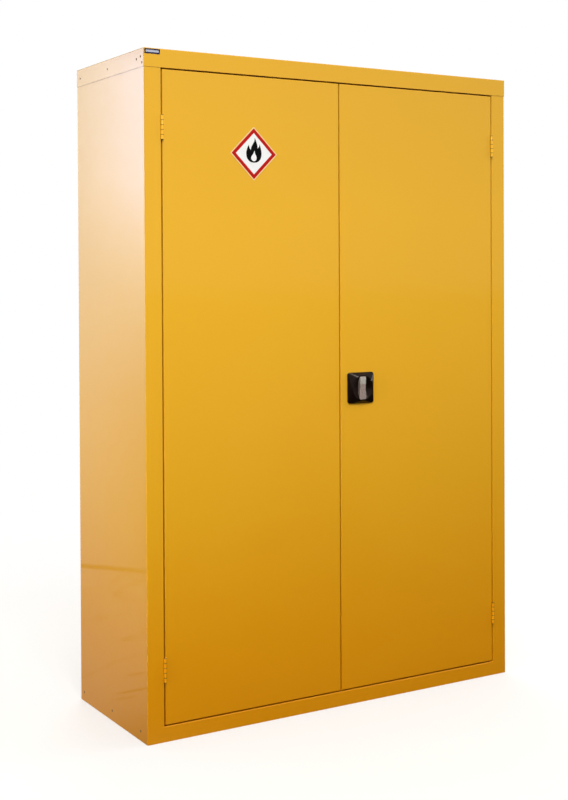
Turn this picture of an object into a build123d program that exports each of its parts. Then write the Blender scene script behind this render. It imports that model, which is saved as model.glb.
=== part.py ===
from build123d import *
import math
import os

# Two-door cabinet for flammable liquids, folded sheet steel.
# Millimetres. +Z up, the doors face -Y, +X to the right when facing the doors.
# Origin: centre of the base, on the floor.

os.makedirs("parts", exist_ok=True)

# ---------------------------------------------------------------- overall
WIDTH = 1220.0
DEPTH = 457.0
HEIGHT = 1830.0
SHEET = 1.2                # all folded sheet
CAP_SKIRT = 49.0           # the lid laps this far down over the body
BEND_R = 2.0               # outside radius of the lid and body corners
FOLD_R = 1.6               # outside radius of the smaller folds

LID_X = WIDTH / 2          # outside of the lid
LID_Y = DEPTH / 2
BODY_X = LID_X - SHEET     # outside of the body, one sheet in from the lid
INNER_X = BODY_X - SHEET   # inside of the side web
FRONT_Y = -LID_Y + SHEET   # front plane of the stiles and the doors
BACK_Y = LID_Y - SHEET     # rear plane of the back panel
Z_SKIRT = HEIGHT - CAP_SKIRT
BODY_TOP = 1826.0
FLOOR_TOP = 34.0

# ---------------------------------------------------------------- doorway
GAP = 4.0                  # gap round and between the doors
STILE = 50.0               # visible stile width, measured from the lid's side
RAIL_TOP = 41.0            # top of the bottom rail
OPEN_X = LID_X - STILE     # half width of the doorway
DOOR_X = OPEN_X - GAP      # outer edge of each door
DOOR_BOT = RAIL_TOP + GAP
DOOR_TOP = Z_SKIRT - GAP
DOOR_T = 25.0              # depth of the folded door pan
STOP_D = 28.0              # front of the stop flange, behind the front plane
STOP_H = 24.0              # stop flange past the header's edge or the door's bottom
STOP_Y = FRONT_Y + STOP_D
FRAME_Y = STOP_Y + SHEET   # rear of the doorway frame
FRONT_FLANGE_BOT = 14.0    # lower edge of the flanges where rail and floor meet

# ---------------------------------------------------------------- hinge places
HINGE_Z = (191.0, 1624.5)
HINGE_LEN = 65.0
HINGE_PROUD = 3.0          # pin axis in front of the door's face
AXIS_X = OPEN_X - GAP / 2
AXIS_Y = FRONT_Y - HINGE_PROUD
NOTCH_R = 4.9              # clearance notch in stile and door


# ================================================================ helpers
def block(x0, x1, y0, y1, z0, z1):
    """Box between two corners, given in either order."""
    centre = Pos((x0 + x1) / 2, (y0 + y1) / 2, (z0 + z1) / 2)
    return centre * Box(abs(x1 - x0), abs(y1 - y0), abs(z1 - z0))


def cylinder_z(x, y, z0, z1, radius):
    return Pos(x, y, (z0 + z1) / 2) * Cylinder(radius, abs(z1 - z0))


def save(name, *shapes):
    """Write the shapes' solids as one STEP file."""
    solids = []
    for shape in shapes:
        solids += list(shape.solids())
    whole = solids[0] if len(solids) == 1 else Compound(children=solids)
    whole.label = name
    export_step(whole, "parts/" + name + ".step")


def mirrored(shape):
    """The same shape on the other side of the cabinet."""
    return mirror(shape, about=Plane.YZ)


def save_pair(pattern, left):
    """Save a left-hand piece and its mirror image; {} in the name takes the hand."""
    save(pattern.format("left"), left)
    save(pattern.format("right"), mirrored(left))


def cut_hinge_notches(shape):
    """Clear the left hinges' knuckles."""
    half = HINGE_LEN / 2 + 1
    for z in HINGE_Z:
        shape -= cylinder_z(-AXIS_X, AXIS_Y, z - half, z + half, NOTCH_R)
    return shape


# ================================================================ lid
def top_cap():
    outer = block(-LID_X, LID_X, -LID_Y, LID_Y, Z_SKIRT, HEIGHT)
    outer = fillet(
        outer.edges().filter_by(Axis.Z) + outer.faces().sort_by(Axis.Z)[-1].edges(),
        BEND_R,
    )
    return outer - block(-BODY_X, BODY_X, FRONT_Y, BACK_Y, Z_SKIRT - 1, HEIGHT - SHEET)


save("top_cap", top_cap())

# ================================================================ sides
RETURN_LIP = 14.0          # inner lip on the doorway return
SIDE_FLANGE = 20.0         # rear return and floor flange, from the outside


def stile_fold_waste():
    """Waste that rounds the stile's vertical corner at the doorway."""
    x, y = -OPEN_X - FOLD_R, FRONT_Y + FOLD_R
    corner = block(-OPEN_X + 0.5, x, FRONT_Y - 0.5, y, RAIL_TOP, Z_SKIRT)
    return corner - cylinder_z(x, y, RAIL_TOP - 1, Z_SKIRT + 1, FOLD_R)


def side_panel():
    """Left side, one sheet: web, front stile, doorway return with its inner lip,
    rear return and floor flange. The stile runs on down beside the bottom rail."""
    rear = BACK_Y - SHEET
    side = block(-BODY_X, -OPEN_X, FRONT_Y, rear, 0, BODY_TOP)
    front_outer = side.edges().filter_by(Axis.Z).sort_by(Axis.Y)[:2].sort_by(Axis.X)[:1]
    side = fillet(front_outer, BEND_R)
    side -= block(-INNER_X, -OPEN_X + 1, FRONT_Y + SHEET, BACK_Y, -1, BODY_TOP + 1)
    side += block(-OPEN_X - SHEET, -OPEN_X, FRONT_Y, FRAME_Y, 0, BODY_TOP)
    side += block(-OPEN_X - RETURN_LIP, -OPEN_X, STOP_Y, FRAME_Y, 0, BODY_TOP)
    side += block(-BODY_X, -BODY_X + SIDE_FLANGE, rear - SHEET, rear, 0, BODY_TOP)
    side += block(-INNER_X, -BODY_X + SIDE_FLANGE, FRAME_Y + 1, rear - SHEET, 0, SHEET)
    side -= stile_fold_waste()
    return cut_hinge_notches(side)


save_pair("{}_side_panel", side_panel())

# ================================================================ back, floor, frame
BACK_CLEARANCE = 0.8       # back panel short of the body at each side
BACK_RIB_X = 205.0
BACK_RIB_D = 7.0
FLOOR_FLANGE_BOT = 8.0     # lower edge of the floor's side and rear flanges
BASE_HAT_HALF = 40.0       # half width over the base stiffener's webs
BASE_HAT_FLANGE_X = 60.0   # its flanges reach out to here
RAIL_FOOT = 22.0           # depth of the rail's bottom flange


def back_panel():
    """Flat sheet with two ribs on its inner face."""
    half, inner = BODY_X - BACK_CLEARANCE, BACK_Y - SHEET
    back = block(-half, half, inner, BACK_Y, 0, BODY_TOP)
    for x in (-BACK_RIB_X, BACK_RIB_X):
        back += block(
            x - SHEET / 2, x + SHEET / 2, inner - BACK_RIB_D, inner,
            FLOOR_TOP + 20, BODY_TOP - 60,
        )
    return back


def floor_pan():
    """Floor with flanges folded down on all four sides."""
    rear = BACK_Y - 2 * SHEET
    pan = block(-INNER_X, INNER_X, FRAME_Y, rear, FLOOR_TOP - SHEET, FLOOR_TOP)
    pan += block(-INNER_X, INNER_X, FRAME_Y, FRAME_Y + SHEET, FRONT_FLANGE_BOT, FLOOR_TOP)
    pan += block(-INNER_X, INNER_X, rear - SHEET, rear, FLOOR_FLANGE_BOT, FLOOR_TOP)
    for s in (-1, 1):
        pan += block(
            s * INNER_X, s * (INNER_X - SHEET), FRAME_Y, rear, FLOOR_FLANGE_BOT, FLOOR_TOP
        )
    return pan


def base_stiffener():
    """Hat section under the floor, running front to back."""
    half = BASE_HAT_HALF
    y0, y1 = FRONT_Y + 34, BACK_Y - 6
    top = FLOOR_TOP - SHEET
    hat = block(-half, half, y0, y1, 0, SHEET)
    for s in (-1, 1):
        hat += block(s * half, s * (half - SHEET), y0, y1, 0, top)
        hat += block(s * half, s * BASE_HAT_FLANGE_X, y0, y1, top - SHEET, top)
    return hat


def header_channel():
    """Face, soffit and stop flange above the doors."""
    soffit_top = Z_SKIRT + SHEET
    header = block(-OPEN_X, OPEN_X, FRONT_Y, FRONT_Y + SHEET, Z_SKIRT, BODY_TOP)
    header += block(-OPEN_X, OPEN_X, FRONT_Y, FRAME_Y, Z_SKIRT, soffit_top)
    header += block(-OPEN_X, OPEN_X, STOP_Y, FRAME_Y, Z_SKIRT - STOP_H, soffit_top)
    return header


def threshold_rail():
    """Face, sill, stop flange and foot below the doors, with a rounded front fold."""
    rail = block(-OPEN_X, OPEN_X, FRONT_Y, FRONT_Y + SHEET, 0, RAIL_TOP)
    rail += block(-OPEN_X, OPEN_X, FRONT_Y, FRAME_Y, RAIL_TOP - SHEET, RAIL_TOP)
    rail += block(-OPEN_X, OPEN_X, STOP_Y, FRAME_Y, FRONT_FLANGE_BOT, DOOR_BOT + STOP_H)
    rail += block(-OPEN_X, OPEN_X, FRONT_Y, FRONT_Y + RAIL_FOOT, 0, SHEET)
    y, z = FRONT_Y + FOLD_R, RAIL_TOP - FOLD_R
    end = OPEN_X + 0.5
    waste = block(-end, end, FRONT_Y - 0.5, y, RAIL_TOP + 0.5, z)
    waste -= Pos(0, y, z) * Rot(0, 90, 0) * Cylinder(FOLD_R, 2 * end + 2)
    return rail - waste


save("back_panel", back_panel())
save("floor_pan", floor_pan())
save("base_stiffener", base_stiffener())
save("header_channel", header_channel())
save("threshold_rail", threshold_rail())

# ================================================================ shelf uprights
UPRIGHT_Y = ((-140.0, -110.0), (150.0, 180.0))   # front pair, rear pair
UPRIGHT_D = 12.0
UPRIGHT_FLANGE = 12.0
UPRIGHT_TOP = 1778.0
UPRIGHT_X = INNER_X - UPRIGHT_D                  # inner face of the uprights
SLOT_PITCH = 50.0
SLOT_FIRST = 82.0
SLOT_COUNT = 34
SLOT_W, SLOT_H = 16.0, 6.0


def upright(y0, y1):
    """Left slotted hat section, flanges against the side web."""
    web, face = -INNER_X, -UPRIGHT_X
    body = block(face - SHEET, face, y0, y1, FLOOR_TOP, UPRIGHT_TOP)
    for x1, ya, yb in (
        (face, y0, y0 + SHEET),
        (face, y1 - SHEET, y1),
        (web + SHEET, y0 - UPRIGHT_FLANGE, y0 + SHEET),
        (web + SHEET, y1 - SHEET, y1 + UPRIGHT_FLANGE),
    ):
        body += block(web, x1, ya, yb, FLOOR_TOP, UPRIGHT_TOP)
    y = (y0 + y1) / 2
    slots = []
    for i in range(SLOT_COUNT):
        z = SLOT_FIRST + SLOT_PITCH * i
        slots.append(block(
            face - 3, face + 1, y - SLOT_W / 2, y + SLOT_W / 2, z - SLOT_H / 2, z + SLOT_H / 2
        ))
    return body - slots


for row, (y0, y1) in zip(("front", "rear"), UPRIGHT_Y):
    save_pair("{}_" + row + "_upright", upright(y0, y1))

# ================================================================ shelves and sump
SHELF_X = 590.0
SHELF_Y = (-165.0, 215.0)
SHELF_LIP = 30.0
SHELF_HEM = 9.0
SUMP_H = 60.0
SUMP_HEM = 10.0
TRAY_CORNER_R = 3.0
HOOK_DROP = 11.0           # hook's middle below the shelf
SHELF_SLOTS = {"lower": 8, "middle": 17, "upper": 26}   # slot the hooks sit in


def tray(z0, height, hem):
    """Open tray with upright lips and a hem folded inwards along their top."""
    y0, y1 = SHELF_Y
    top = z0 + height
    body = block(-SHELF_X, SHELF_X, y0, y1, z0, top)
    body = fillet(body.edges().filter_by(Axis.Z), TRAY_CORNER_R)
    body = fillet(body.faces().sort_by(Axis.Z)[0].edges(), FOLD_R)
    x = SHELF_X - SHEET
    body -= block(-x, x, y0 + SHEET, y1 - SHEET, z0 + SHEET, top - SHEET)
    x = SHELF_X - hem
    body -= block(-x, x, y0 + hem, y1 - hem, z0 + height / 2, top + 1)
    return body


def clip(side, y, z):
    """Hooked clip on an upright: side is -1 for left, 1 for right; z is the ledge top."""

    def piece(inward0, inward1, half, drop0, drop1):
        """Block placed from the upright's face inwards and from the ledge top down."""
        x0, x1 = side * (UPRIGHT_X - inward0), side * (UPRIGHT_X - inward1)
        return block(x0, x1, y - half, y + half, z - drop0, z - drop1)

    plate = piece(0, SHEET, 9, 24, 0)
    ledge = piece(0, 15, 9, 1.5, 0)
    rib = piece(0, 8, 0.8, 12, 0)
    hook = piece(0.6, -4.0, 6, HOOK_DROP + 1.5, HOOK_DROP - 1.5)
    keeper = piece(-2.4, -4.0, 6, HOOK_DROP + 5.5, HOOK_DROP - 1.5)
    return plate + ledge + rib + hook + keeper


for level, slot in SHELF_SLOTS.items():
    z = SLOT_FIRST + SLOT_PITCH * slot + HOOK_DROP
    save(level + "_shelf", tray(z, SHELF_LIP, SHELF_HEM))
    clips = [clip(side, (y0 + y1) / 2, z) for side in (-1, 1) for y0, y1 in UPRIGHT_Y]
    save(level + "_shelf_clips", *clips)
save("sump_tray", tray(FLOOR_TOP, SUMP_H, SUMP_HEM))

# ================================================================ rivets
RIVET_HEAD_R, RIVET_HEAD_H = 3.3, 1.1
RIVET_R, RIVET_LEN = 1.6, 3.2
# Side rivets: (distance behind the lid's front, z)
CAP_SIDE_RIVETS = [(44, 1804), (19, 1808), (10, 1792), (236, 1804), (430, 1803)]
BASE_SIDE_RIVETS = [(45, 26), (232, 28), (431, 26)]


def make_rivet():
    """Domed rivet at the origin, head towards +Z, shank centred below the head."""
    ball_r = (RIVET_HEAD_R ** 2 + RIVET_HEAD_H ** 2) / (2 * RIVET_HEAD_H)
    dome = (Pos(0, 0, RIVET_HEAD_H - ball_r) * Sphere(ball_r)) & (
        Pos(0, 0, RIVET_HEAD_H) * Box(12, 12, 2 * RIVET_HEAD_H)
    )
    return dome + Pos(0, 0, -RIVET_LEN / 2) * Cylinder(RIVET_R, RIVET_LEN)


RIVET = make_rivet()


def side_rivets(points, x):
    """Rivets through both sides, heads out, at x and -x."""
    return [
        Pos(s * x, -LID_Y + behind, z) * Rot(0, s * 90, 0) * RIVET
        for behind, z in points
        for s in (-1, 1)
    ]


def rear_rivets(points, y):
    """Rivets with their heads to the rear; points are (x, z)."""
    return [Pos(x, y, z) * Rot(-90, 0, 0) * RIVET for x, z in points]


cap_rear = [(x, 1803) for x in (-560, -280, 0, 280, 560)]
save("top_cap_rivets", *side_rivets(CAP_SIDE_RIVETS, LID_X), *rear_rivets(cap_rear, LID_Y))
save("base_rivets", *side_rivets(BASE_SIDE_RIVETS, BODY_X))
back_points = [(s * (BODY_X - 11), z) for s in (-1, 1) for z in range(90, 1741, 330)]
back_points += [(x, 22) for x in (-380, 0, 380)]
save("back_panel_rivets", *rear_rivets(back_points, BACK_Y))

# ================================================================ buffers and badge
BUFFER_R = 5.0
BUFFER_EDGE_R = 1.2
BUFFER_CLEARANCE = 0.2


def door_buffer(x, z):
    """Rubber dome on a stop flange, just clear of the closed door."""
    y0 = FRONT_Y + DOOR_T + BUFFER_CLEARANCE
    dome = Pos(x, (y0 + STOP_Y) / 2, z) * Rot(90, 0, 0) * Cylinder(BUFFER_R, STOP_Y - y0)
    return fillet(dome.faces().sort_by(Axis.Y)[0].edges(), BUFFER_EDGE_R)


def blank_badge():
    """Thin plate at the left end of the lid's front."""
    plate = block(-607.6, -563.0, -LID_Y - 0.6, -LID_Y, 1814.6, 1827.8)
    return fillet(plate.edges().filter_by(Axis.Y), 1.0)


save("door_buffers", *[
    door_buffer(x, z) for x in (-520, -45, 45, 520) for z in (DOOR_TOP - 8, DOOR_BOT + 8)
])
save("blank_badge", blank_badge())

# ================================================================ hinges
KNUCKLE_R = 4.25
KNUCKLE_GAP = 0.3
KNUCKLE_LEN = (HINGE_LEN - 4 * KNUCKLE_GAP) / 5
PIN_R = 2.0
PIN_BORE_R = 2.05
LEAF_T = 1.4
LEAF_OFFSET = 0.6          # from the pin axis to the leaf's near face


def hinge_leaf(z0, knuckles, side):
    """Left hinge's leaf on one side of the pin axis, with its share of five knuckles."""
    x0 = -AXIS_X + side * LEAF_OFFSET
    x1 = x0 + side * LEAF_T
    leaf = block(x0, x1, AXIS_Y + 4.8, FRONT_Y + DOOR_T, z0, z0 + HINGE_LEN)
    for k in knuckles:
        low = z0 + k * (KNUCKLE_LEN + KNUCKLE_GAP)
        high = low + KNUCKLE_LEN
        leaf += cylinder_z(-AXIS_X, AXIS_Y, low, high, KNUCKLE_R)
        leaf += block(x0, x1, AXIS_Y + 2.6, AXIS_Y + 4.9, low, high)
    return leaf - cylinder_z(-AXIS_X, AXIS_Y, z0 - 1, z0 + HINGE_LEN + 1, PIN_BORE_R)


def hinge_pin(z0):
    top = z0 + HINGE_LEN
    pin = cylinder_z(-AXIS_X, AXIS_Y, z0 - 0.7, top, PIN_R)
    head = cylinder_z(-AXIS_X, AXIS_Y, top, top + 0.9, 3.2)
    head = fillet(head.faces().sort_by(Axis.Z)[-1].edges(), 0.6)
    return pin + head


for level, z in zip(("lower", "upper"), HINGE_Z):
    z0 = z - HINGE_LEN / 2
    save_pair(level + "_{}_hinge_frame_leaf", hinge_leaf(z0, (0, 2, 4), -1))
    save_pair(level + "_{}_hinge_door_leaf", hinge_leaf(z0, (1, 3), 1))
    save_pair(level + "_{}_hinge_pin", hinge_pin(z0))

# ================================================================ doors
DOOR_LIP = 15.0            # return lip inside the door
DOOR_HAT_HALF = 30.0       # half width over the stiffener's webs
DOOR_HAT_FLANGE = 44.0     # its flanges reach this far from its middle
DOOR_HAT_D = 14.8
DOOR_HAT_END = 25.0        # distance from the door's top and bottom
LEFT_HAT_X, RIGHT_HAT_X = -279.0, 340.0
SIGN_SIZE = 104.0
SIGN_X, SIGN_Z = -279.6, 1566.3


def door_pan():
    """Left door: shallow pan, four returns and inward lips."""
    x0, x1 = -DOOR_X, -GAP / 2
    rear = FRONT_Y + DOOR_T
    pan = block(x0, x1, FRONT_Y, rear, DOOR_BOT, DOOR_TOP)
    pan = fillet(
        pan.edges().filter_by(Axis.Y) + pan.faces().sort_by(Axis.Y)[0].edges(), FOLD_R
    )
    pan -= block(
        x0 + SHEET, x1 - SHEET, FRONT_Y + SHEET, rear - SHEET,
        DOOR_BOT + SHEET, DOOR_TOP - SHEET,
    )
    pan -= block(
        x0 + DOOR_LIP, x1 - DOOR_LIP, FRONT_Y + DOOR_T / 2, rear + 1,
        DOOR_BOT + DOOR_LIP, DOOR_TOP - DOOR_LIP,
    )
    return cut_hinge_notches(pan)


def door_stiffener(x):
    """Upright hat section behind the door skin."""
    z0, z1 = DOOR_BOT + DOOR_HAT_END, DOOR_TOP - DOOR_HAT_END
    y0 = FRONT_Y + SHEET
    y1 = y0 + DOOR_HAT_D
    half = DOOR_HAT_HALF
    hat = block(x - half, x + half, y1 - SHEET, y1, z0, z1)
    for s in (-1, 1):
        hat += block(x + s * half, x + s * (half - SHEET), y0, y1, z0, z1)
        hat += block(x + s * half, x + s * DOOR_HAT_FLANGE, y0, y0 + SHEET, z0, z1)
    return hat


def hazard_label():
    """Thin square sign plate turned on its corner."""
    square = Rot(0, 0, 45) * RectangleRounded(SIGN_SIZE, SIGN_SIZE, 2.5)
    return Pos(SIGN_X, FRONT_Y, SIGN_Z) * Rot(90, 0, 0) * extrude(square, 0.4)


left_pan = door_pan()
save("left_door_panel", left_pan)
save("left_door_stiffener", door_stiffener(LEFT_HAT_X))
save("right_door_stiffener", door_stiffener(RIGHT_HAT_X))
save("hazard_label", hazard_label())

# ================================================================ lock on the right door
# Local frame of the lock: x to the right, y up, z out of the door's face.
# Depths are measured behind the door's face; negative depths stand in front of it.
LOCK_X = 69.0
LOCK_Z = 908.5
LOCK = Plane(origin=(LOCK_X, FRONT_Y, LOCK_Z), x_dir=(1, 0, 0), z_dir=(0, -1, 0)).location

ESC_SIZE = 89.0
ESC_CORNER = 8.0
ESC_EDGE = 4.0             # height of the square flange
ESC_H = 15.0               # height of the round rim
RIM_R = 36.0
RIM_ANGLES = (-4, 0, 4, 45, 86)   # points of a quarter's two rim arcs, degrees
DISH_R = 55.6              # sphere that hollows the finger dish
DISH_FLOOR = 3.0
SCREWS = [(sx * 37.0, sy * 37.0) for sx in (-1, 1) for sy in (-1, 1)]
SCREW_R = 2.0
SCREW_HOLE_R = 2.2
HOUSING_HALF_W = 30.0
HOUSING_HALF_H = 55.0
HOUSING_FLANGE = 46.0      # flanges reach this far from the spindle's axis
HOUSING_D = 22.0
BAR_LEN = 66.0
BAR_W = 21.5
BAR_WAIST = 18.0
BAR_WAIST_Y = 15.0         # half length of the waisted stretch
BAR_H = 15.5
PLUG_Y = 21.0              # key plug above the spindle's axis
PLUG_R = 5.95
PLUG_BORE_R = 6.0
SPINDLE_R = 6.0
SPINDLE_BORE_R = 6.05
SPINDLE_FRONT = -12.0
SQUARE_HALF = 4.0          # square drive between spindle and cam plate
STUD_R = 3.9               # spindle's rear end, through washer and nut
CAM_FRONT, CAM_BACK = 27.0, 30.0
CAM_R = 31.0
CAM_WASHER_T = 1.2
NUT_H = 5.5
TONGUE_LEN = 90.0
TONGUE_R = 10.0            # tongue's end radius and half width
CAM_PIN_AT = 24.0          # radius of the two drive pins
CAM_PIN_R = 3.0
PIN_XY = CAM_PIN_AT * math.sqrt(0.5)
CAM_PINS = ((PIN_XY, -PIN_XY), (-PIN_XY, PIN_XY))
ROD_FRONT, ROD_BACK = 31.0, 36.0
ROD_IN, ROD_OUT = 13.0, 31.0   # rod's span beside the spindle's axis
ROD_SLOT_HALF = 3.95       # half height of the slot round a drive pin
UPPER_TIP = 1754.0         # rod tips with the lock open
LOWER_TIP = 72.0


def lock_block(x0, x1, y0, y1, depth0, depth1):
    return block(x0, x1, y0, y1, -depth1, -depth0)


def lock_cylinder(x, y, depth0, depth1, radius):
    return cylinder_z(x, y, -depth1, -depth0, radius)


def right_door_panel():
    pan = mirrored(left_pan)
    pan -= LOCK * lock_cylinder(0, 0, -1, 3, 9.0)
    for x, y in SCREWS:
        pan -= LOCK * lock_cylinder(x, y, -1, 3, SCREW_HOLE_R)
    return pan


def escutcheon_transition():
    """Loft from the rounded square flange to the round rim, built quarter by quarter."""
    half = ESC_SIZE / 2
    straight = half - ESC_CORNER
    mid = straight + ESC_CORNER * math.sqrt(0.5)
    square_edges, circle_edges = [], []
    for quarter in range(4):
        turn = math.radians(90 * quarter)

        def turned(x, y, z):
            return (
                x * math.cos(turn) - y * math.sin(turn),
                x * math.sin(turn) + y * math.cos(turn),
                z,
            )

        side_end = turned(half, straight, ESC_EDGE)
        square_edges.append(Line(turned(half, -straight, ESC_EDGE), side_end).edge())
        square_edges.append(ThreePointArc(
            side_end, turned(mid, mid, ESC_EDGE), turned(straight, half, ESC_EDGE)
        ).edge())
        angles = [math.radians(t) for t in RIM_ANGLES]
        rim = [turned(RIM_R * math.cos(t), RIM_R * math.sin(t), ESC_H) for t in angles]
        circle_edges.append(ThreePointArc(*rim[:3]).edge())
        circle_edges.append(ThreePointArc(*rim[2:]).edge())
    return Solid.make_loft([Wire(square_edges), Wire(circle_edges)], ruled=True)


def dish_sphere(radius):
    return Pos(0, 0, DISH_FLOOR + DISH_R) * Sphere(radius)


def lock_escutcheon():
    """Square flange, square-to-round transition and finger dish."""
    body = extrude(RectangleRounded(ESC_SIZE, ESC_SIZE, ESC_CORNER), ESC_EDGE)
    body = body + escutcheon_transition()
    body -= dish_sphere(DISH_R)
    body -= lock_cylinder(0, 0, -ESC_H, 1, SPINDLE_BORE_R)
    for x, y in SCREWS:
        body -= lock_cylinder(x, y, -3.4, 1, SCREW_R)
    return body


def lock_housing():
    """Hat pressing behind the skin that carries the spindle's rear bearing."""
    w, h, back = HOUSING_HALF_W, HOUSING_HALF_H, HOUSING_D
    body = lock_block(-w, w, -h, h, back - SHEET, back)
    for s in (-1, 1):
        body += lock_block(s * w, s * (w - SHEET), -h, h, SHEET, back)
        body += lock_block(s * w, s * HOUSING_FLANGE, -h, h, SHEET, 2 * SHEET)
    body += lock_cylinder(0, 0, back - 5, back + 2, 10.0)
    body -= lock_cylinder(0, 0, 10, 30, SPINDLE_BORE_R)
    for x, y in SCREWS:
        body -= lock_cylinder(x, y, 0, 5, SCREW_HOLE_R)
    return body


def escutcheon_screw(x, y):
    """Cross-slotted screw, head behind the housing flange."""
    seat = 2 * SHEET
    head = lock_cylinder(x, y, seat, seat + 2.6, 4.2)
    head = fillet(head.faces().sort_by(Axis.Z)[0].edges(), 1.2)
    for half_x, half_y in ((3, 0.5), (0.5, 3)):
        head -= lock_block(x - half_x, x + half_x, y - half_y, y + half_y, seat + 1.5, 8)
    return head + lock_cylinder(x, y, -3.2, seat, SCREW_R)


def turn_lever():
    """Waisted bar across the dish; its back follows the dish."""
    w, waist, end, y = BAR_W / 2, BAR_WAIST / 2, BAR_LEN / 2, BAR_WAIST_Y
    outline = [
        Line((-w, y), (-w, end)),
        Line((-w, end), (w, end)),
        Line((w, end), (w, y)),
        ThreePointArc((w, y), (waist, 0), (w, -y)),
        Line((w, -y), (w, -end)),
        Line((w, -end), (-w, -end)),
        Line((-w, -end), (-w, -y)),
        ThreePointArc((-w, -y), (-waist, 0), (-w, y)),
    ]
    bar = extrude(make_face([e.edge() for e in outline]), BAR_H)
    bar = fillet(
        [e for e in bar.edges().filter_by(Axis.Z) if abs(abs(e.center().Y) - end) < 0.1], 2.0
    )
    bar = fillet(bar.faces().sort_by(Axis.Z)[-1].edges(), 0.9)
    bar = bar & dish_sphere(DISH_R - 0.5)
    bar -= lock_cylinder(0, 0, SPINDLE_FRONT, 0, SPINDLE_R)
    bar -= lock_cylinder(0, PLUG_Y, -BAR_H - 1, 0, PLUG_BORE_R)
    return bar


def plug_cover():
    """Raised, nearly square cover round the key plug."""
    cover = lock_block(-9.2, 9.2, PLUG_Y - 9.6, PLUG_Y + 10.0, -BAR_H - 0.9, -BAR_H)
    cover = fillet(cover.edges().filter_by(Axis.Z), 1.5)
    cover = fillet(cover.faces().sort_by(Axis.Z)[-1].edges(), 0.5)
    return cover - lock_cylinder(0, PLUG_Y, -BAR_H - 2, 0, PLUG_BORE_R)


def key_plug():
    plug = lock_cylinder(0, PLUG_Y, -BAR_H - 1.3, -10.4, PLUG_R)
    plug = fillet(plug.faces().sort_by(Axis.Z)[-1].edges(), 0.4)
    return plug - lock_block(-0.75, 0.75, PLUG_Y - 3.6, PLUG_Y + 3.6, -BAR_H - 2, -12.5)


def spindle():
    q = SQUARE_HALF
    shaft = lock_cylinder(0, 0, SPINDLE_FRONT, CAM_FRONT, SPINDLE_R)
    shaft += lock_block(-q, q, -q, q, CAM_FRONT, CAM_BACK)
    shaft += lock_cylinder(0, 0, CAM_BACK, 39.0, STUD_R)
    return shaft


def cam_plate():
    """Disc with an upright tongue and two drive pins."""
    q, r = SQUARE_HALF, TONGUE_R
    tip = TONGUE_LEN - r
    cam = lock_cylinder(0, 0, CAM_FRONT, CAM_BACK, CAM_R)
    cam += lock_block(-r, r, 0, tip, CAM_FRONT, CAM_BACK)
    cam += lock_cylinder(0, tip, CAM_FRONT, CAM_BACK, r)
    cam -= lock_block(-q, q, -q, q, CAM_FRONT - 1, CAM_BACK + 1)
    for x, y in CAM_PINS:
        cam += lock_cylinder(x, y, CAM_BACK, 38.4, CAM_PIN_R)
    return cam


def washer(x, y, front, back, radius, bore):
    return lock_cylinder(x, y, front, back, radius) - lock_cylinder(x, y, 25, 45, bore)


def cam_nut():
    back = CAM_BACK + CAM_WASHER_T + NUT_H
    nut = Pos(0, 0, -back) * extrude(RegularPolygon(6.5, 6, major_radius=False), NUT_H)
    return nut - lock_cylinder(0, 0, 25, 45, STUD_R)


def rod(tip):
    """Rod on the +x side of the spindle: slotted yoke at the cam, bevelled tip."""
    y = -PIN_XY
    body = lock_block(10, ROD_OUT, y - 9, y + 9, ROD_FRONT, ROD_BACK)
    body += lock_block(ROD_IN, ROD_OUT, y, tip, ROD_FRONT, ROD_BACK)
    reach = CAM_PIN_R + 0.9
    body -= lock_block(
        PIN_XY - reach, CAM_PIN_AT + reach, y - ROD_SLOT_HALF, y + ROD_SLOT_HALF,
        ROD_FRONT - 1, ROD_BACK + 1,
    )
    return chamfer(
        [e for e in body.edges().filter_by(Axis.Z) if abs(e.center().Y - tip) < 0.1], 4.0
    )


def rod_guide(x0, x1, height):
    """Folded fin on the door skin with a window for the rod, at a height off the floor."""
    y = height - LOCK_Z
    fin = lock_block(x0 - 8, x1 + 8, y - 1, y + 1, SHEET, 39.5)
    fin += lock_block(x0 - 8, x1 + 8, y - 1, y + 15, SHEET, SHEET + 2)
    fin -= lock_block(x0 - 0.6, x1 + 0.6, y - 3, y + 3, ROD_FRONT - 0.6, ROD_BACK + 0.6)
    return LOCK * fin


save("right_door_panel", right_door_panel())
for part in (
    lock_escutcheon, lock_housing, turn_lever, plug_cover, key_plug, spindle, cam_plate, cam_nut
):
    save(part.__name__, LOCK * part())
save("escutcheon_screws", *[LOCK * escutcheon_screw(x, y) for x, y in SCREWS])
save("cam_pin_washers", *[
    LOCK * washer(x, y, ROD_BACK + 0.4, ROD_BACK + 1.4, 5.6, CAM_PIN_R) for x, y in CAM_PINS
])
save("cam_washer", LOCK * washer(0, 0, CAM_BACK, CAM_BACK + CAM_WASHER_T, 8.0, STUD_R))
save("upper_rod", LOCK * rod(UPPER_TIP - LOCK_Z))
save("lower_rod", LOCK * (Rot(0, 0, 180) * rod(LOCK_Z - LOWER_TIP)))
save("upper_rod_guides", *[rod_guide(ROD_IN, ROD_OUT, z) for z in (1290.0, 1715.0)])
save("lower_rod_guides", *[rod_guide(-ROD_OUT, -ROD_IN, z) for z in (105.0, 530.0)])
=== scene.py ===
import bpy, bmesh, math, random
from mathutils import Vector, Matrix


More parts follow.
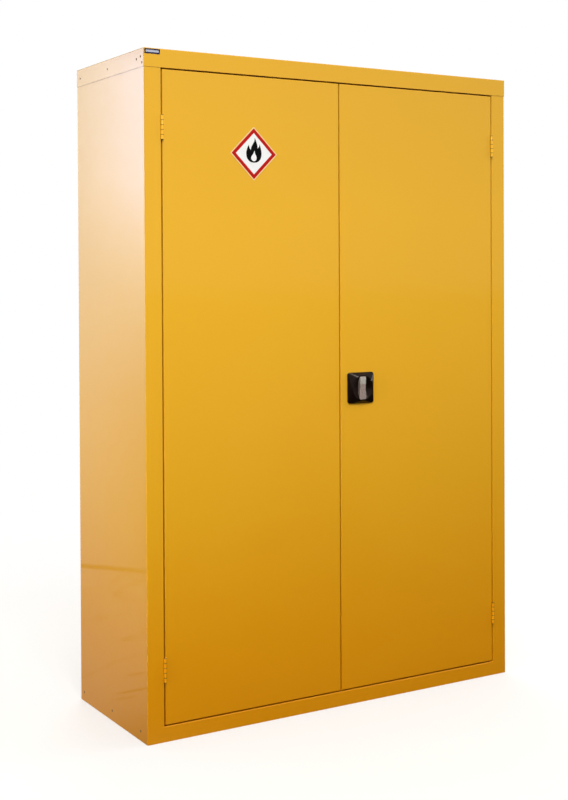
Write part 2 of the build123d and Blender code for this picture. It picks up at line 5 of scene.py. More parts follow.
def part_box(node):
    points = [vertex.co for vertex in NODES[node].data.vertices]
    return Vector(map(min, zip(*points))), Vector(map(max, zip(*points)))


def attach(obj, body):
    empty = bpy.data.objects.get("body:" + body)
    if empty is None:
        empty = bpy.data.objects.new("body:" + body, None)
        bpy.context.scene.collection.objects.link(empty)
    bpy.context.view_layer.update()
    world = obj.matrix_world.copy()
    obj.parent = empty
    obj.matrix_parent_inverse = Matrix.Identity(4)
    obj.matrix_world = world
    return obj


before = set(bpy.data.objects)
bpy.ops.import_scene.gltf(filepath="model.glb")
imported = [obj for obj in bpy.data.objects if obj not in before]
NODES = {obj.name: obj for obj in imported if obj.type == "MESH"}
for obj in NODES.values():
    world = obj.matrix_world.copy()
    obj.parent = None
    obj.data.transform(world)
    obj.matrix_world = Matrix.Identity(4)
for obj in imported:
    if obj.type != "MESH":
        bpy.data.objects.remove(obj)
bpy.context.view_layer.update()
scene = bpy.context.scene
random.seed(7)

# ------------------------------------------------------------------ small helpers


def node_group_free(mat):
    mat.use_nodes = True
    nt = mat.node_tree
    nt.nodes.clear()
    return nt


class NT:
    """Thin wrapper that makes nodes and links them by name."""

    def __init__(self, name):
        self.mat = bpy.data.materials.new(name)
        self.t = node_group_free(self.mat)
        self.out = self.t.nodes.new("ShaderNodeOutputMaterial")
        self.bsdf = self.t.nodes.new("ShaderNodeBsdfPrincipled")
        self.t.links.new(self.bsdf.outputs[0], self.out.inputs[0])
        self.co = self.t.nodes.new("ShaderNodeTexCoord").outputs["Object"]

    def n(self, kind, **props):
        inputs = props.pop("inputs", {})
        node = self.t.nodes.new("ShaderNode" + kind)
        for k, v in props.items():
            setattr(node, k, v)
        for k, v in inputs.items():
            self.set(node.inputs[k], v)
        return node

    def set(self, sock, v):
        if isinstance(v, bpy.types.NodeSocket):
            self.t.links.new(v, sock)
        elif v is not None:
            sock.default_value = v

    def math(self, op, a, b=None, c=None, clamp=False):
        m = self.n("Math", operation=op, use_clamp=clamp)
        self.set(m.inputs[0], a)
        if b is not None:
            self.set(m.inputs[1], b)
        if c is not None:
            self.set(m.inputs[2], c)
        return m.outputs[0]

    def noise(self, scale, detail=3.0, rough=0.5, vec=None, dist=0.0):
        k = self.n("TexNoise")
        self.set(k.inputs["Vector"], vec or self.co)
        self.set(k.inputs["Scale"], scale)
        self.set(k.inputs["Detail"], detail)
        self.set(k.inputs["Roughness"], rough)
        self.set(k.inputs["Distortion"], dist)
        return k.outputs["Fac"]

    def stretch(self, sx, sy, sz, vec=None):
        m = self.n("Mapping")
        self.set(m.inputs["Vector"], vec or self.co)
        m.inputs["Scale"].default_value = (sx, sy, sz)
        return m.outputs[0]

    def rng(self, v, a, b, lo=0.0, hi=1.0, smooth=False):
        m = self.n("MapRange", clamp=True)
        if smooth:
            m.interpolation_type = "SMOOTHSTEP"
        self.set(m.inputs["Value"], v)
        self.set(m.inputs["From Min"], lo)
        self.set(m.inputs["From Max"], hi)
        self.set(m.inputs["To Min"], a)
        self.set(m.inputs["To Max"], b)
        return m.outputs["Result"]

    def mix(self, fac, a, b, blend="MIX"):
        m = self.n("Mix", data_type="RGBA", blend_type=blend)
        self.set(m.inputs["Factor"], fac)
        self.set(m.inputs[6], a)
        self.set(m.inputs[7], b)
        return m.outputs[2]

    def bump(self, height, strength, dist, normal=None):
        b = self.n("Bump")
        self.set(b.inputs["Strength"], strength)
        self.set(b.inputs["Distance"], dist)
        self.set(b.inputs["Height"], height)
        if normal is not None:
            self.set(b.inputs["Normal"], normal)
        return b.outputs[0]

    def sep(self):
        return self.n("SeparateXYZ", inputs={0: self.co}).outputs

    def edge_mask(self, radius, lo=0.02, hi=0.35):
        """1 on outside edges, from how far a bevelled normal leans from the true one."""
        bev = self.n("Bevel", samples=4)
        bev.inputs["Radius"].default_value = radius
        geo = self.n("NewGeometry").outputs["Normal"]
        d = self.n("VectorMath", operation="DOT_PRODUCT")
        self.set(d.inputs[0], bev.outputs[0])
        self.set(d.inputs[1], geo)
        return self.rng(self.math("SUBTRACT", 1.0, d.outputs["Value"]), 0.0, 1.0, lo, hi)

    def p(self, **kw):
        names = {
            "color": "Base Color", "metal": "Metallic", "rough": "Roughness", "ior": "IOR",
            "normal": "Normal", "coat": "Coat Weight", "coat_rough": "Coat Roughness",
            "spec": "Specular IOR Level", "aniso": "Anisotropic", "coat_normal": "Coat Normal",
            "tint": "Specular Tint", "coat_ior": "Coat IOR", "coat_tint": "Coat Tint",
        }
        for k, v in kw.items():
            self.set(self.bsdf.inputs[names[k]], v)
        return self


def rgb(h):
    def f(c):
        c /= 255.0
        return c / 12.92 if c <= 0.04045 else ((c + 0.055) / 1.055) ** 2.4
    return (f(int(h[1:3], 16)), f(int(h[3:5], 16)), f(int(h[5:7], 16)), 1.0)


# ------------------------------------------------------------------ materials


def powder(name, wave=0.0, rough=0.40, wear=0.0, peel=0.10, gloss=1.0, crisp=(0.045, 0.075), knuckles=False):
    """Gloss powder coat: orange peel, faint cloudiness, thin paint on outside edges, and a base colour that runs by
    height as painted light.
    """
    m = NT(name)
    x, y, z = m.sep()
    h = m.rng(z, 0.0, 1.0, 0.0, 1.83)
    cloud = m.noise(2.2, 2.0, 0.5)
    h = m.math("ADD", h, m.math("MULTIPLY", m.math("SUBTRACT", cloud, 0.5), 0.10), clamp=True)
    # painted light: the base colour follows the tones by height, standing in for the studio's light
    ramp = m.n("ValToRGB")
    m.set(ramp.inputs[0], h)
    els = ramp.color_ramp.elements
    els[0].position, els[0].color = PAINTED_LIGHT_TONES[0]
    els[1].position, els[1].color = PAINTED_LIGHT_TONES[-1]
    for at, tone in PAINTED_LIGHT_TONES[1:-1]:
        e = els.new(at)
        e.color = tone
    base = ramp.outputs[0]
    low = PAINTED_LIGHT_TONES[0][1]
    speck = m.noise(900.0, 2.0, 0.6)
    base = m.mix(m.rng(speck, 0.0, 0.08, 0.40, 0.75), base, (low[0] * 0.80, low[1] * 0.74, low[2] * 0.6, 1))
    edge = m.edge_mask(0.0012)
    thin = m.math("MULTIPLY", edge, m.rng(m.noise(60.0, 4.0, 0.7), 0.15, 0.75, 0.35, 0.65))
    base = m.mix(m.math("MULTIPLY", thin, 0.18), base, (0.90, 0.55, 0.10, 1))
    if wear > 0:
        chip = m.rng(m.noise(420.0, 5.0, 0.75), 0.0, 1.0, 0.60, 0.66)
        chip = m.math("MULTIPLY", m.math("MULTIPLY", edge, chip), wear)
        base = m.mix(chip, base, (0.30, 0.22, 0.12, 1))
    if knuckles:
        # painted shade in the gaps between the hinge knuckles, with a little oily dirt, at heights measured from each
        # hinge's middle
        u = m.math("MINIMUM", m.math("ABSOLUTE", m.math("SUBTRACT", z, 0.191)), m.math("ABSOLUTE", m.math("SUBTRACT", z, 1.624)))
        d = m.math("ABSOLUTE", m.math("SUBTRACT", u, 0.00653))
        for at in (0.01959, 0.0325):
            d = m.math("MINIMUM", d, m.math("ABSOLUTE", m.math("SUBTRACT", u, at)))
        gap_shade = m.rng(d, 0.85, 0.0, 0.0006, 0.0015, smooth=True)
        base = m.mix(gap_shade, base, (0.150, 0.055, 0.003, 1))
    grime = m.rng(m.noise(14.0, 5.0, 0.6), 0.0, 0.04, 0.45, 0.8)
    rg = m.math("ADD", m.rng(m.noise(35.0, 4.0, 0.6), rough - 0.02, rough + 0.03, 0.3, 0.7), grime)
    crg = m.math("ADD", m.rng(m.noise(35.0, 4.0, 0.6), crisp[0], crisp[1], 0.3, 0.7), grime)
    peel_a = m.noise(330.0, 2.0, 0.45)
    peel_b = m.noise(95.0, 1.0, 0.4)
    nrm = m.bump(m.math("ADD", peel_a, m.math("MULTIPLY", peel_b, 0.8)), peel, 0.00025)
    if wave > 0:
        w = m.noise(1.0, 1.5, 0.45, vec=m.stretch(2.6, 2.6, 1.3), dist=0.25)
        w2 = m.noise(1.0, 1.0, 0.4, vec=m.stretch(7.0, 7.0, 12.0))
        near_foot = m.rng(z, 1.0, 0.0, 0.02, 0.50, smooth=True)
        hw = m.math("ADD", w, m.math("MULTIPLY", m.math("MULTIPLY", w2, near_foot), 0.14))
        nrm = m.bump(hw, 1.0, wave, nrm)
    m.p(color=base, rough=rg, normal=nrm, spec=0.30, coat=gloss, coat_rough=crg, coat_normal=nrm)
    return m.mat


# painted light: the paint's base colour runs by height, warmer and darker towards the floor, standing in for the
# studio's light
PAINTED_LIGHT_TONES = [
    (0.00, (0.76, 0.294, 0.0008, 1)), (0.10, (0.79, 0.325, 0.0014, 1)), (0.19, (0.80, 0.358, 0.0050, 1)),
    (0.33, (0.825, 0.412, 0.0125, 1)), (0.46, (0.86, 0.440, 0.0195, 1)), (0.62, (0.875, 0.466, 0.0215, 1)),
    (0.77, (0.855, 0.460, 0.0175, 1)), (0.89, (0.800, 0.430, 0.0150, 1)), (1.00, (0.755, 0.404, 0.0140, 1)),
]
M_BODY = powder("yellow_body", wave=0.0005)
M_SIDE = powder("yellow_side", wave=0.0010, peel=0.06, crisp=(0.028, 0.045))
M_DOOR = powder("yellow_door", wave=0.0005)
M_IN = powder("yellow_inside", wave=0.0005, rough=0.42, gloss=0.7)
M_HINGE = powder("yellow_hinge", wear=0.5, rough=0.36, knuckles=True)


def zinc(name, tone=(0.66, 0.67, 0.66, 1), rough=0.30):
    m = NT(name)
    spangle = m.n("TexVoronoi", feature="F1")
    m.set(spangle.inputs["Vector"], m.co)
    spangle.inputs["Scale"].default_value = 260.0
    hue = m.noise(24.0, 3.0, 0.6)
    c = m.mix(m.rng(hue, 0, 1, 0.35, 0.7), tone, (tone[0] * 0.98, tone[1] * 0.93, tone[2] * 0.80, 1))
    c = m.mix(m.rng(m.noise(11.0, 4.0, 0.6), 0.0, 0.55, 0.45, 0.75), c, (tone[0] * 0.72, tone[1] * 0.76, tone[2] * 0.82, 1))
    scr = m.noise(1.0, 4.0, 0.6, vec=m.stretch(900, 900, 26))
    r = m.math("ADD", m.rng(scr, rough - 0.08, rough + 0.10, 0.3, 0.7), m.rng(spangle.outputs["Distance"], 0.0, 0.05, 0, 0.6))
    nrm = m.bump(scr, 0.12, 0.00008)
    m.p(color=c, metal=0.60, rough=r, normal=nrm)
    return m.mat


M_ZINC = zinc("zinc_plate")
M_ZINC_DULL = zinc("zinc_plate_dull", (0.55, 0.56, 0.56, 1), 0.38)


def satin(name, tone, metal=1.0, rough=0.30, mottle=0.14):
    """Die-cast zinc with a brushed, slightly worn face."""
    m = NT(name)
    d = tuple(c * (1 - mottle) for c in tone[:3]) + (1,)
    c = m.mix(m.rng(m.noise(260.0, 4.0, 0.65), 0.0, 1.0, 0.35, 0.7), tone, d)
    brush = m.noise(1.0, 3.0, 0.6, vec=m.stretch(1400, 1400, 90))
    c = m.mix(m.rng(brush, 0.0, 0.5, 0.45, 0.8), c, tuple(x * 0.72 for x in tone[:3]) + (1,))
    r = m.rng(brush, rough - 0.05, rough + 0.12, 0.3, 0.7)
    edge = m.edge_mask(0.0008)
    c = m.mix(m.math("MULTIPLY", edge, 0.7), c, (0.88, 0.85, 0.80, 1))
    m.p(color=c, metal=metal, rough=r, normal=m.bump(brush, 0.15, 0.00006))
    return m.mat


M_LEVER = satin("satin_diecast", (0.54, 0.420, 0.370, 1), 0.55, 0.26)
M_COVER = satin("satin_cover", (0.66, 0.63, 0.57, 1), 0.45, 0.26, 0.30)
M_CHROME = satin("plug_chrome", (0.60, 0.57, 0.52, 1), 0.40, 0.34)


def black_gloss():
    m = NT("black_moulding")
    c = m.mix(m.rng(m.noise(300.0, 4.0, 0.6), 0, 1, 0.3, 0.8), (0.0040, 0.0018, 0.0012, 1), (0.009, 0.0045, 0.0030, 1))
    r = m.rng(m.noise(90.0, 5.0, 0.65), 0.12, 0.21, 0.3, 0.75)
    nrm = m.bump(m.noise(700.0, 3.0, 0.5), 0.08, 0.0001)
    m.p(color=c, rough=r, normal=nrm, spec=0.20, tint=(1.0, 0.84, 0.74, 1))
    return m.mat


M_BLACK = black_gloss()


def rivet():
    """Bare pop-rivet head, dulled and brownish."""
    m = NT("rivet_steel")
    c = m.mix(m.rng(m.noise(500.0, 4.0, 0.6), 0, 1, 0.3, 0.75), (0.150, 0.090, 0.040, 1), (0.250, 0.165, 0.085, 1))
    m.p(color=c, rough=m.rng(m.noise(300.0, 3.0, 0.5), 0.5, 0.7), spec=0.15, normal=m.bump(m.noise(900.0, 3.0, 0.6), 0.15, 0.00006))
    return m.mat


M_RIVET = rivet()


def rubber():
    m = NT("buffer_rubber")
    c = m.mix(m.noise(600.0, 4.0, 0.6), (0.012, 0.012, 0.012, 1), (0.030, 0.029, 0.028, 1))
    m.p(color=c, rough=m.rng(m.noise(200.0, 3.0, 0.5), 0.62, 0.82), normal=m.bump(m.noise(900.0, 3.0, 0.6), 0.3, 0.0001))
    return m.mat


M_RUBBER = rubber()


def film(name, tone, rough=0.30, mottled=0.06, sheen=0.3, spec=0.5):
    """Printed vinyl film: near-even colour with faint print mottling and a soft sheen."""
    m = NT(name)
    d = tuple(c * (1 - mottled * 2.2) for c in tone[:3]) + (1,)
    c = m.mix(m.rng(m.noise(420.0, 3.0, 0.6), 0, 1, 0.35, 0.75), tone, d)
    m.p(color=c, rough=m.rng(m.noise(60.0, 4.0, 0.6), rough - 0.05, rough + 0.08), normal=m.bump(m.noise(240.0, 2.0, 0.5), 0.06, 0.0002), coat=sheen, coat_rough=0.12, spec=spec)
    return m.mat


M_WHITE = film("sign_white", (0.88, 0.885, 0.90, 1), mottled=0.02, sheen=0.1)
M_RED = film("sign_red", (0.50, 0.006, 0.004, 1), 0.38, 0.05, 0.0, 0.22)
M_INK = film("sign_ink", (0.0015, 0.0015, 0.0018, 1), 0.42, 0.05, 0.0, 0.12)
M_PALE = film("sign_edge", (0.88, 0.64, 0.36, 1), sheen=0.1)
M_BADGE = film("badge_pale", (0.44, 0.47, 0.58, 1), 0.26)
M_BADGE_EDGE = film("badge_blue", (0.014, 0.016, 0.060, 1), 0.30, sheen=0.0, spec=0.3)


def give(node, mat):
    o = NODES[node]
    o.data.materials.clear()
    o.data.materials.append(mat)


INSIDE = {"back_panel", "floor_pan", "base_stiffener", "header_channel", "upper_shelf", "middle_shelf",
          "lower_shelf", "sump_tray", "left_front_upright", "left_rear_upright",
          "right_front_upright", "right_rear_upright", "left_door_stiffener", "right_door_stiffener"}
for name in NODES:
    if name in INSIDE:
        give(name, M_IN)
    elif "side_panel" in name:
        give(name, M_SIDE)
    elif "door_panel" in name:
        give(name, M_DOOR)
    elif "hinge" in name:
        give(name, M_HINGE)
    elif "rivets" in name:
        give(name, M_RIVET)
    elif name in ("top_cap", "threshold_rail"):
        give(name, M_BODY)
    elif name == "door_buffers":
        give(name, M_RUBBER)
    elif name == "lock_escutcheon":
        give(name, M_BLACK)
    elif name == "turn_lever":
        give(name, M_LEVER)
    elif name == "plug_cover":
        give(name, M_COVER)
    elif name == "key_plug":
        give(name, M_CHROME)
    elif name == "blank_badge":
        give(name, M_BADGE_EDGE)
    elif name == "hazard_label":
        give(name, M_PALE)
    elif name in ("lock_housing", "cam_plate", "upper_rod_guides", "lower_rod_guides"):
        give(name, M_ZINC_DULL)
    else:
        give(name, M_ZINC)

# ------------------------------------------------------------------ thin printed pieces


def smooth_run(pts, steps=7):
    """Catmull-Rom curve through one run of points, its ends sharp."""
    out = []
    n = len(pts)
    for i in range(n - 1):
        p0 = pts[i - 1] if i > 0 else (2 * pts[0][0] - pts[1][0], 2 * pts[0][1] - pts[1][1])
        p1, p2 = pts[i], pts[i + 1]
        p3 = pts[i + 2] if i + 2 < n else (2 * pts[-1][0] - pts[-2][0], 2 * pts[-1][1] - pts[-2][1])
        for k in range(steps):
            t = k / steps
            out.append(tuple(
                0.5 * (2 * b + (c - a) * t + (2 * a - 5 * b + 4 * c - d) * t * t + (3 * b - a - 3 * c + d) * t ** 3)
                for a, b, c, d in zip(p0, p1, p2, p3)))
    return out


def outline(runs):
    pts = []
    for r in runs:
        pts += smooth_run(r)
    return pts


def rounded_square(half, r, seg=6):
    pts = []
    for q in range(4):
        a0 = math.pi / 2 * q
        cx, cz = (half - r) * (1 if q in (0, 3) else -1), (half - r) * (1 if q in (0, 1) else -1)
        for k in range(seg + 1):
            a = a0 + math.pi / 2 * k / seg
            pts.append((cx + r * math.cos(a), cz + r * math.sin(a)))
    return pts


def rounded_rect(hx, hz, r, seg=5):
    return [(x + (hx - hz if x > 0 else hz - hx), z) for x, z in rounded_square(hz, r, seg)]


def spin(pts, deg):
    c, s_ = math.cos(math.radians(deg)), math.sin(math.radians(deg))
    return [(x * c - z * s_, x * s_ + z * c) for x, z in pts]


def film_piece(name, pts, cx, cz, y_back, thick, mat, body, hole=None):
    """Thin plate facing -Y with a soft front edge; hole is an inner outline with as many points."""
    bm = bmesh.new()
    soft = min(thick * 0.5, 0.00003)
    rings = [(1.0, y_back, 0.0), (1.0, y_back - thick + soft, 0.0), (1.0, y_back - thick, soft)]
    def ring(loop, y, inset, sign):
        out = []
        n = len(loop)
        for i, (x, z) in enumerate(loop):
            ax, az = loop[i - 1]
            bx_, bz_ = loop[(i + 1) % n]
            tx, tz = bx_ - ax, bz_ - az
            ln = math.hypot(tx, tz) or 1.0
            nx, nz = tz / ln, -tx / ln
            out.append(bm.verts.new((cx + x / 1000 - nx * inset * sign, y, cz + z / 1000 - nz * inset * sign)))
        return out
    outer = [ring(pts, y, inset, 1) for _, y, inset in rings]
    n = len(pts)
    for a, b in zip(outer, outer[1:]):
        for i in range(n):
            bm.faces.new((a[i], a[(i + 1) % n], b[(i + 1) % n], b[i]))
    if hole is None:
        bm.faces.new(outer[-1])
        bm.faces.new(list(reversed(outer[0])))
    else:
        inner = [ring(hole, y, inset, -1) for _, y, inset in rings]
        for a, b in zip(inner, inner[1:]):
            for i in range(n):
                bm.faces.new((a[(i + 1) % n], a[i], b[i], b[(i + 1) % n]))
        for i in range(n):
            j = (i + 1) % n
            bm.faces.new((outer[-1][i], outer[-1][j], inner[-1][j], inner[-1][i]))
            bm.faces.new((outer[0][j], outer[0][i], inner[0][i], inner[0][j]))
    bmesh.ops.triangulate(bm, faces=[f for f in bm.faces if len(f.verts) > 4])
    bmesh.ops.recalc_face_normals(bm, faces=bm.faces)
    me = bpy.data.meshes.new(name)
    bm.to_mesh(me)
    bm.free()
    o = bpy.data.objects.new(name, me)
    me.materials.append(mat)
    scene.collection.objects.link(o)
    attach(o, body)
    return o


lo_, hi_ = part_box("hazard_label")
SX, SZ, SY = (lo_[0] + hi_[0]) / 2, (lo_[2] + hi_[2]) / 2, lo_[1]
film_piece("sign_frame", spin(rounded_square(49.3, 1.6), 45), SX, SZ, SY, 0.00007, M_RED, "left_door",
           hole=spin(rounded_square(39.9, 0.4), 45))
film_piece("sign_field", spin(rounded_square(40.2, 0.4), 45), SX, SZ, SY, 0.00004, M_WHITE, "left_door")
# A plain flame: one tall tongue between two short ones, with a pale drop at its heart.
FLAME = outline([
    [(-11.5, 14.0), (-15.6, 5.0), (-17.0, -3.5), (-14.6, -12.6), (-8.4, -18.4), (0.0, -20.0),
     (8.4, -18.4), (14.8, -12.4), (17.0, -3.0), (16.0, 5.0), (12.8, 16.0)],
    [(12.8, 16.0), (11.6, 11.2), (8.4, 7.4)],
    [(8.4, 7.4), (7.6, 14.0), (5.4, 20.0), (2.2, 28.0)],
    [(2.2, 28.0), (0.8, 21.0), (-3.2, 14.2), (-5.6, 9.8), (-6.8, 3.6)],
    [(-6.8, 3.6), (-9.6, 8.0), (-11.5, 14.0)],
])
DROP = outline([
    [(1.4, 3.4), (-1.6, -3.0), (-5.4, -8.0), (-5.8, -12.8), (-3.0, -16.4), (0.0, -17.2),
     (3.2, -16.4), (5.8, -12.6), (5.2, -7.4), (2.8, -2.8), (1.4, 3.4)],
])
FS = 1.42
film_piece("sign_flame", [(x * FS, z * FS + 4.0) for x, z in FLAME], SX, SZ, SY - 0.00004, 0.00004, M_INK, "left_door")
film_piece("sign_flame_heart", [(x * FS, z * FS + 4.0) for x, z in DROP], SX, SZ, SY - 0.00008, 0.00003, M_WHITE, "left_door")

lo_, hi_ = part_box("blank_badge")
BX, BZ, BY = (lo_[0] + hi_[0]) / 2, (lo_[2] + hi_[2]) / 2, lo_[1]
BHX, BHZ = (hi_[0] - lo_[0]) * 500, (hi_[2] - lo_[2]) * 500
film_piece("badge_field", rounded_rect(BHX - 3.6, BHZ - 3.7, 0.8), BX, BZ, BY, 0.00008, M_BADGE, "cabinet")

# ------------------------------------------------------------------ floor, light, camera


HEAD = (-0.41, 0.91)   # heading of the bright backdrop behind the left side
L_WORLD, L_FLOOR, L_FLOOR_BACK = 0.70, 0.03, 0.52


def heading(m, x, y, lo=0.25, hi=0.97):
    """How far a direction or place points towards the bright side, 0 to 1."""
    r = m.math("SQRT", m.math("ADD", m.math("ADD", m.math("MULTIPLY", x, x), m.math("MULTIPLY", y, y)), 1e-6))
    d = m.math("DIVIDE", m.math("ADD", m.math("MULTIPLY", x, HEAD[0]), m.math("MULTIPLY", y, HEAD[1])), r)
    return m.rng(d, 0.0, 1.0, lo, hi, smooth=True), r


def creases(m, x, y):
    """Thin dark folds of a paper backdrop lying on the floor, seen only in the paint's gloss."""
    v = m.n("CombineXYZ", inputs={0: m.math("MULTIPLY", x, 1.3), 1: m.math("MULTIPLY", y, 2.1)}).outputs[0]
    k = m.noise(1.25, 2.0, 0.45, vec=v, dist=0.9)
    line = m.math("ABSOLUTE", m.math("SUBTRACT", k, 0.52))
    soft = m.rng(line, 0.55, 1.0, 0.003, 0.020, smooth=True)
    # a few straight folds beside the left foot: y of the fold, middle, half length, darkest value
    for yy, xm, half, dark in ((0.2155, -0.775, 0.050, 0.15), (0.362, -0.848, 0.030, 0.30), (0.166, -0.722, 0.030, 0.45)):
        a = m.rng(m.math("ABSOLUTE", m.math("SUBTRACT", y, yy)), dark, 1.0, 0.004, 0.014, smooth=True)
        b = m.rng(m.math("ABSOLUTE", m.math("SUBTRACT", x, xm)), 0.0, 1.0 - dark, half * 0.6, half * 1.5, smooth=True)
        soft = m.math("MULTIPLY", soft, m.math("MINIMUM", 1.0, m.math("ADD", a, b)))
    return soft


def floor_material():
    """Pale floor. The camera sees it near white; the object sees a calmer, darker floor,
    as in a studio where the light falls off towards the ground."""
    m = NT("studio_floor")
    x, y, z = m.sep()
    w, r = heading(m, x, y, -0.35, 0.95)
    c = m.mix(m.noise(3.0, 4.0, 0.6), (0.86, 0.855, 0.845, 1), (0.88, 0.878, 0.872, 1))
    m.p(color=c, rough=m.rng(m.noise(40.0, 4.0, 0.6), 0.55, 0.7), spec=0.25)
    em = m.n("Emission")
    em.inputs[0].default_value = (1, 1, 1, 1)
    em.inputs[1].default_value = 1.0
    seen = m.n("MixShader")
    m.set(seen.inputs[0], m.rng(r, 0.50, 1.0, 1.0, 3.2, smooth=True))
    m.t.links.new(m.bsdf.outputs[0], seen.inputs[1])
    m.t.links.new(em.outputs[0], seen.inputs[2])
    calm = m.n("Emission")
    calm.inputs[0].default_value = (1.0, 0.95, 0.88, 1)
    back = m.math("MULTIPLY", m.rng(r, 0.68, 0.72, 0.70, 1.7), m.math("MULTIPLY", w, L_FLOOR_BACK))
    back = m.math("MULTIPLY", back, creases(m, x, y))
    m.set(calm.inputs[1], m.math("ADD", back, L_FLOOR))
    path = m.n("LightPath")
    mix = m.n("MixShader")
    m.set(mix.inputs[0], path.outputs["Is Camera Ray"])
    m.t.links.new(calm.outputs[0], mix.inputs[1])
    m.t.links.new(seen.outputs[0], mix.inputs[2])
    m.t.links.new(mix.outputs[0], m.out.inputs[0])
    return m.mat


bm = bmesh.new()
bmesh.ops.create_circle(bm, cap_ends=True, segments=128, radius=90.0)
me = bpy.data.meshes.new("studio_floor")
bm.to_mesh(me)
bm.free()
floor = bpy.data.objects.new("studio_floor", me)
floor.location = (0, 0, -0.0006)
me.materials.append(floor_material())
scene.collection.objects.link(floor)

# Backdrop behind the cabinet, seen only in the gloss of the paint: bright above, dim at its foot.
CARD_Y = 1.50


def card_material():
    m = NT("backdrop_glow")
    x, y, z = m.sep()
    ramp = m.n("ValToRGB")
    m.set(ramp.inputs[0], m.math("MULTIPLY_ADD", z, 0.4002, -0.0192))
    els = ramp.color_ramp.elements
    stops = [(0.0, 0.35), (0.11, 0.43), (0.195, 0.56), (0.28, 0.75), (0.37, 1.13), (0.45, 1.56), (0.63, 2.85), (0.78, 3.1),
             (1.0, 3.3)]
    els[0].position, els[0].color = stops[0][0], (stops[0][1] / 5,) * 3 + (1,)
    els[1].position, els[1].color = stops[-1][0], (stops[-1][1] / 5,) * 3 + (1,)
    for at, v in stops[1:-1]:
        els.new(at).color = (v / 5,) * 3 + (1,)
    slope = m.rng(z, -1.6, 1.55, 0.25, 1.65, smooth=True)
    lean = m.math("ADD", m.math("MULTIPLY", m.math("SUBTRACT", -1.33, x), slope), 1.0)
    lean = m.math("MINIMUM", m.math("MAXIMUM", lean, 0.5), 1.6)
    fade = m.math("MULTIPLY", m.rng(x, 0.0, 1.0, -3.4, -2.2, smooth=True), m.rng(x, 1.0, 0.0, -0.9, 0.6, smooth=True))
    fade = m.math("MULTIPLY", fade, m.rng(z, 1.0, 0.0, 2.04, 2.36, smooth=True))
    # rays that climb steeply come off the lid's top: keep the glow out of it
    climb = m.n("SeparateXYZ", inputs={0: m.n("NewGeometry").outputs["Incoming"]}).outputs[2]
    fade = m.math("MULTIPLY", fade, m.rng(climb, 0.0, 1.0, -0.26, -0.19, smooth=True))
    val = m.math("MULTIPLY", m.math("MULTIPLY", m.math("MULTIPLY", ramp.outputs[0], 5.0 * L_CARD), lean), fade)
    # a thin dark fold low on the backdrop, running slightly uphill
    at = m.math("MULTIPLY_ADD", m.math("ADD", x, 1.4167), 0.209, 0.0311)
    off = m.math("ABSOLUTE", m.math("SUBTRACT", z, at))
    foot = m.rng(off, 0.0, 1.0, 0.0045, 0.0105, smooth=True)
    foot = m.math("MAXIMUM", foot, m.rng(x, 1.0, 0.0, -1.50, -1.36, smooth=True))
    spur = m.math("MULTIPLY_ADD", m.math("ADD", x, 1.2689), -0.54, 0.0075)
    spur = m.rng(m.math("ABSOLUTE", m.math("SUBTRACT", z, spur)), 0.35, 1.0, 0.001, 0.006, smooth=True)
    spur = m.math("MAXIMUM", spur, m.rng(m.math("ABSOLUTE", m.math("ADD", x, 1.295)), 0.0, 1.0, 0.02, 0.05))
    foot = m.math("MULTIPLY", foot, spur)
    cool = m.math("MULTIPLY", m.rng(z, 0.0, 1.0, 1.15, 1.75, smooth=True), m.rng(x, 1.0, 0.05, -1.42, -1.13, smooth=True))
    hue = m.mix(cool, (1.0, 0.985, 0.955, 1), (0.96, 1.03, 1.30, 1))
    em = m.n("Emission")
    m.set(em.inputs[0], hue)
    rest = m.math("MULTIPLY", m.math("SUBTRACT", 1.0, fade), 0.38)
    m.set(em.inputs[1], m.math("MULTIPLY", m.math("ADD", val, rest), foot))
    m.t.links.new(em.outputs[0], m.out.inputs[0])
    return m.mat


L_CARD = 1.0
bm = bmesh.new()
bmesh.ops.create_grid(bm, x_segments=24, y_segments=12, size=1.0)
for v in bm.verts:
    v.co = Vector((-1.4 + v.co.x * 2.0, CARD_Y + 0.10 * v.co.x ** 2, 1.70 + v.co.y * 1.70))
me = bpy.data.meshes.new("backdrop_glow")
bm.to_mesh(me)
bm.free()
card = bpy.data.objects.new("backdrop_glow", me)
me.materials.append(card_material())
scene.collection.objects.link(card)
for ray in ("camera", "diffuse", "transmission", "volume_scatter", "shadow"):
    setattr(card, "visible_" + ray, False)

world = bpy.data.worlds.new("studio")
scene.world = world
world.use_nodes = True


class WT(NT):
    def __init__(self, w):
        self.t = w.node_tree
        self.t.nodes.clear()
        self.out = self.t.nodes.new("ShaderNodeOutputWorld")
        self.co = self.t.nodes.new("ShaderNodeTexCoord").outputs["Generated"]


w_ = WT(world)
wx, wy, wz = w_.sep()
lit = w_.n("Background")
lit.inputs[0].default_value = (1.0, 0.975, 0.93, 1)
w_.set(lit.inputs[1], w_.rng(wz, 0.30 * L_WORLD, L_WORLD, -0.20, 0.40, smooth=True))
seen_bg = w_.n("Background")
seen_bg.inputs[0].default_value = (1, 1, 1, 1)
seen_bg.inputs[1].default_value = 1.0
path_ = w_.n("LightPath")
mix_ = w_.n("MixShader")
w_.set(mix_.inputs[0], path_.outputs["Is Camera Ray"])
w_.t.links.new(lit.outputs[0], mix_.inputs[1])
w_.t.links.new(seen_bg.outputs[0], mix_.inputs[2])
w_.t.links.new(mix_.outputs[0], w_.out.inputs[0])


def area(name, loc, target, sx, sy, power, color=(1, 1, 1), spread=180.0, glossy=True):
    d = bpy.data.lights.new(name, "AREA")
    d.shape = "RECTANGLE"
    d.size, d.size_y = sx, sy
    d.energy = power
    d.color = color
    d.spread = math.radians(spread)
    o = bpy.data.objects.new(name, d)
    o.location = loc
    o.rotation_euler = (Vector(target) - Vector(loc)).to_track_quat("-Z", "Y").to_euler()
    o.visible_camera = False
    o.visible_glossy = glossy
    scene.collection.objects.link(o)
    return o


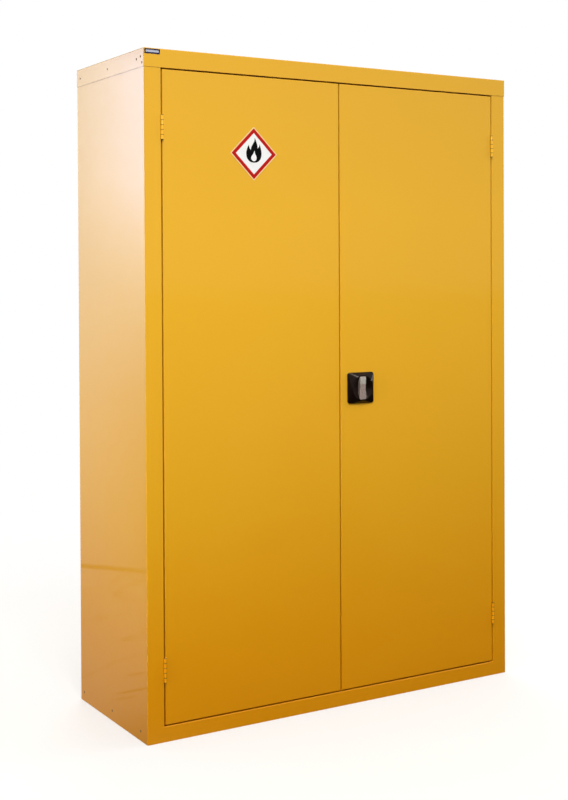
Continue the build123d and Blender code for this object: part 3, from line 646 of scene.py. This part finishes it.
area("key_soft", (-1.7, -3.4, 3.7), (0.0, -0.2, 1.5), 2.4, 1.8, 158, (1.0, 0.985, 0.95), 180.0, False)
area("left_low", (-3.0, -0.5, 0.64), (-0.61, 0.0, 0.57), 1.6, 0.5, 2.7, (1.0, 0.97, 0.92), 48.0, False)
area("right_fill", (3.4, -0.8, 2.4), (0.5, -0.1, 0.6), 1.8, 1.6, 46, (1.0, 0.99, 0.97), 180.0, False)
area("back_fill", (1.6, 3.8, 3.0), (0.0, 0.2, 1.0), 2.6, 2.0, 85, (1.0, 0.99, 0.98), 180.0, False)
ridge = area("ridge_soft", (0.50, -2.40, 3.10), (0.07, -0.23, 0.91), 0.45, 0.60, 15, (1.0, 0.99, 0.97))
strip = area("edge_strip", (-2.45, -2.20, 1.55), (-0.3, -0.23, 1.1), 0.10, 1.30, 8, (1.0, 0.985, 0.95))
glints = [area("glint_" + tag, (3.1, -0.75, zz), (0.07, -0.23, 0.91), 0.16, 0.16, 2.6)
          for tag, zz in (("a", 1.40), ("b", 0.92))]


def only_lights(lamps, name, test):
    """The lamps light only the nodes that pass the test: small accents for hardware, not for the sheets."""
    c = bpy.data.collections.new(name)
    for n, o in NODES.items():
        if test(n):
            c.objects.link(o)
    for lamp in lamps:
        lamp.light_linking.receiver_collection = c


LOCK_PARTS = ("lock_escutcheon", "turn_lever", "plug_cover", "key_plug")
only_lights([ridge, strip], "strip_lit", lambda n: "hinge" in n or n in LOCK_PARTS)
only_lights(glints, "glint_lit", lambda n: n in LOCK_PARTS)

cam_d = bpy.data.cameras.new("camera")
cam = bpy.data.objects.new("camera", cam_d)
scene.collection.objects.link(cam)
scene.camera = cam


def rodrigues(r):
    th = math.sqrt(sum(c * c for c in r))
    k = Vector([c / th for c in r])
    K = Matrix(((0, -k.z, k.y), (k.z, 0, -k.x), (-k.y, k.x, 0)))
    return Matrix.Identity(3) + math.sin(th) * K + (1 - math.cos(th)) * (K @ K)


Rm = Matrix(((1, 0, 0), (0, 0, -1), (0, 1, 0))) @ rodrigues((0.01063045, -0.00788167, 0.54155802))
right, down, fwd = Rm[0], Rm[1], Rm[2]
CAM_AT = Vector((-2.07870, -3.37511, 1.23512))
rot = Matrix((right, -down, -fwd)).transposed().to_4x4()
cam.matrix_world = Matrix.Translation(CAM_AT) @ rot
cam_d.sensor_width = 36.0
cam_d.sensor_fit = "AUTO"
cam_d.lens = 1322.22 * 36.0 / 800.0
cam_d.clip_start, cam_d.clip_end = 0.05, 400.0
SHIFT = (290.68 - 400.0) / 800.0
drv = cam_d.driver_add("shift_y").driver
drv.type = "SCRIPTED"
for nm, ax in (("px", "LOC_X"), ("py", "LOC_Y")):
    v = drv.variables.new()
    v.name = nm
    v.type = "TRANSFORMS"
    v.targets[0].id = cam
    v.targets[0].transform_type = ax
    v.targets[0].transform_space = "WORLD_SPACE"
drv.expression = "%.5f if (fabs(px - (%.5f)) < 0.01 and fabs(py - (%.5f)) < 0.01) else 0.0" % (SHIFT, CAM_AT.x, CAM_AT.y)

scene.view_settings.view_transform = "Standard"
scene.view_settings.look = "None"
scene.view_settings.exposure = 0.0
scene.view_settings.gamma = 1.0
scene.cycles.use_denoising = True
scene.cycles.max_bounces = 8
scene.cycles.diffuse_bounces = 4
scene.cycles.glossy_bounces = 4
scene.cycles.sample_clamp_indirect = 6.0
